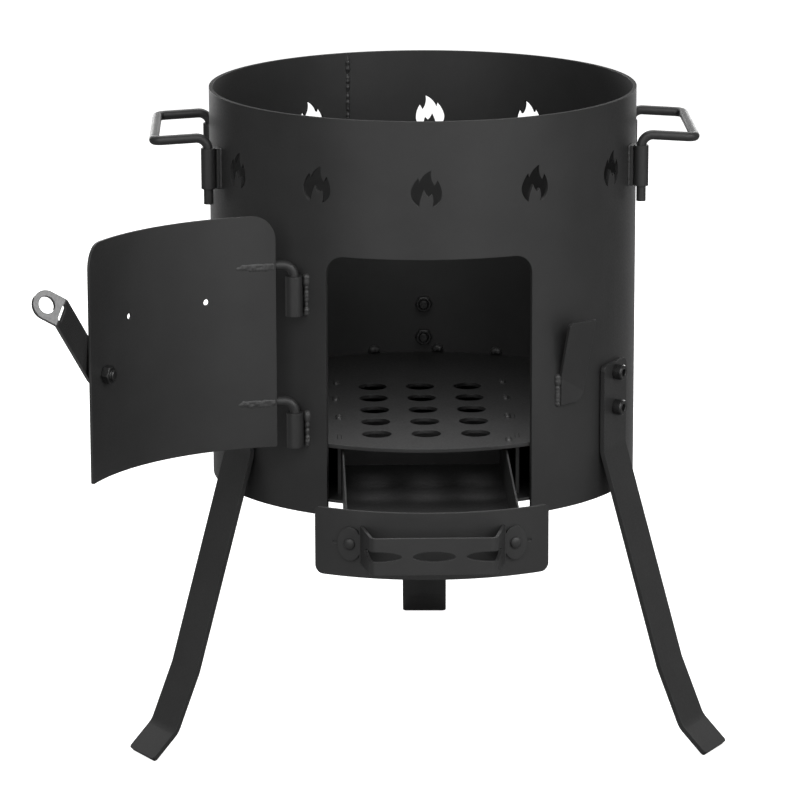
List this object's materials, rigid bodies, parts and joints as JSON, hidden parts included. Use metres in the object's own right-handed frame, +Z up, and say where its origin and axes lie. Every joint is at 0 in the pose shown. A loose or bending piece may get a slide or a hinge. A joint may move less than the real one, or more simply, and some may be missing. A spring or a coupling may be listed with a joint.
{
  "type": "cauldron stove",
  "caption": "Outdoor cauldron stove: open-topped steel drum with flame-shaped vents, hinged fire door with latch, pull-out ash drawer, carry handles and three bolted splayed legs.",
  "frame": {"origin": "on the floor, under the centre of the drum", "axes": "+Z up along the drum's axis, -Y out of the fire doorway, +X to the right as the doorway is faced"},
  "size_m": [0.5642, 0.6643, 0.543],
  "materials": {
    "heat_paint": "matt dark-grey heat-resistant coat",
    "black_oxide_steel": "black-oxide steel fasteners"
  },
  "bodies": {
    "stove": {"drum_shell": "heat_paint", "drum_floor": "heat_paint", "fire_grate": "heat_paint", "drawer_guide_left": "heat_paint", "drawer_guide_right": "heat_paint", "leg_left": "heat_paint", "leg_right": "heat_paint", "leg_rear": "heat_paint", "leg_screws": "black_oxide_steel", "leg_nuts": "black_oxide_steel", "hinge_tube_upper": "heat_paint", "hinge_tube_lower": "heat_paint", "latch_catch": "heat_paint", "handle_sockets_left": "heat_paint", "handle_sockets_right": "heat_paint", "socket_pads_left": "heat_paint", "socket_pads_right": "heat_paint"},
    "door": {"fire_door": "heat_paint", "hinge_rod_upper": "heat_paint", "hinge_rod_lower": "heat_paint", "latch_pivot_screw": "black_oxide_steel", "latch_pivot_nut": "black_oxide_steel", "latch_pivot_washer": "black_oxide_steel"},
    "latch": {"latch_lever": "heat_paint"},
    "drawer": {"ash_pan": "heat_paint", "drawer_front": "heat_paint", "drawer_handle": "heat_paint", "drawer_handle_screws": "black_oxide_steel", "drawer_handle_nuts": "black_oxide_steel"},
    "carry_left": {"carry_handle_left": "heat_paint"},
    "carry_right": {"carry_handle_right": "heat_paint"}
  },
  "joints": [
    {"name": "door_hinge", "type": "hinge", "parent": "stove", "child": "door", "pos_m": [-0.11007, -0.15206, 0.361], "axis": [0, 0, 1], "range_deg": [-20, 141.2]},
    {"name": "latch_pivot", "type": "hinge", "parent": "door", "child": "latch", "pos_m": [-0.26554, -0.25255, 0.355], "axis": [-0.8846, 0.4664, 0], "range_deg": [-15, 0]},
    {"name": "drawer_slide", "type": "slide", "parent": "stove", "child": "drawer", "axis": [0, 1, 0], "range_m": [-0.12, 0.167]},
    {"name": "carry_handle_left_lift", "type": "slide", "parent": "stove", "child": "carry_left", "axis": [0, 0, 1], "range_m": [0, 0.047]},
    {"name": "carry_handle_right_lift", "type": "slide", "parent": "stove", "child": "carry_right", "axis": [0, 0, 1], "range_m": [0, 0.047]}
  ]
}
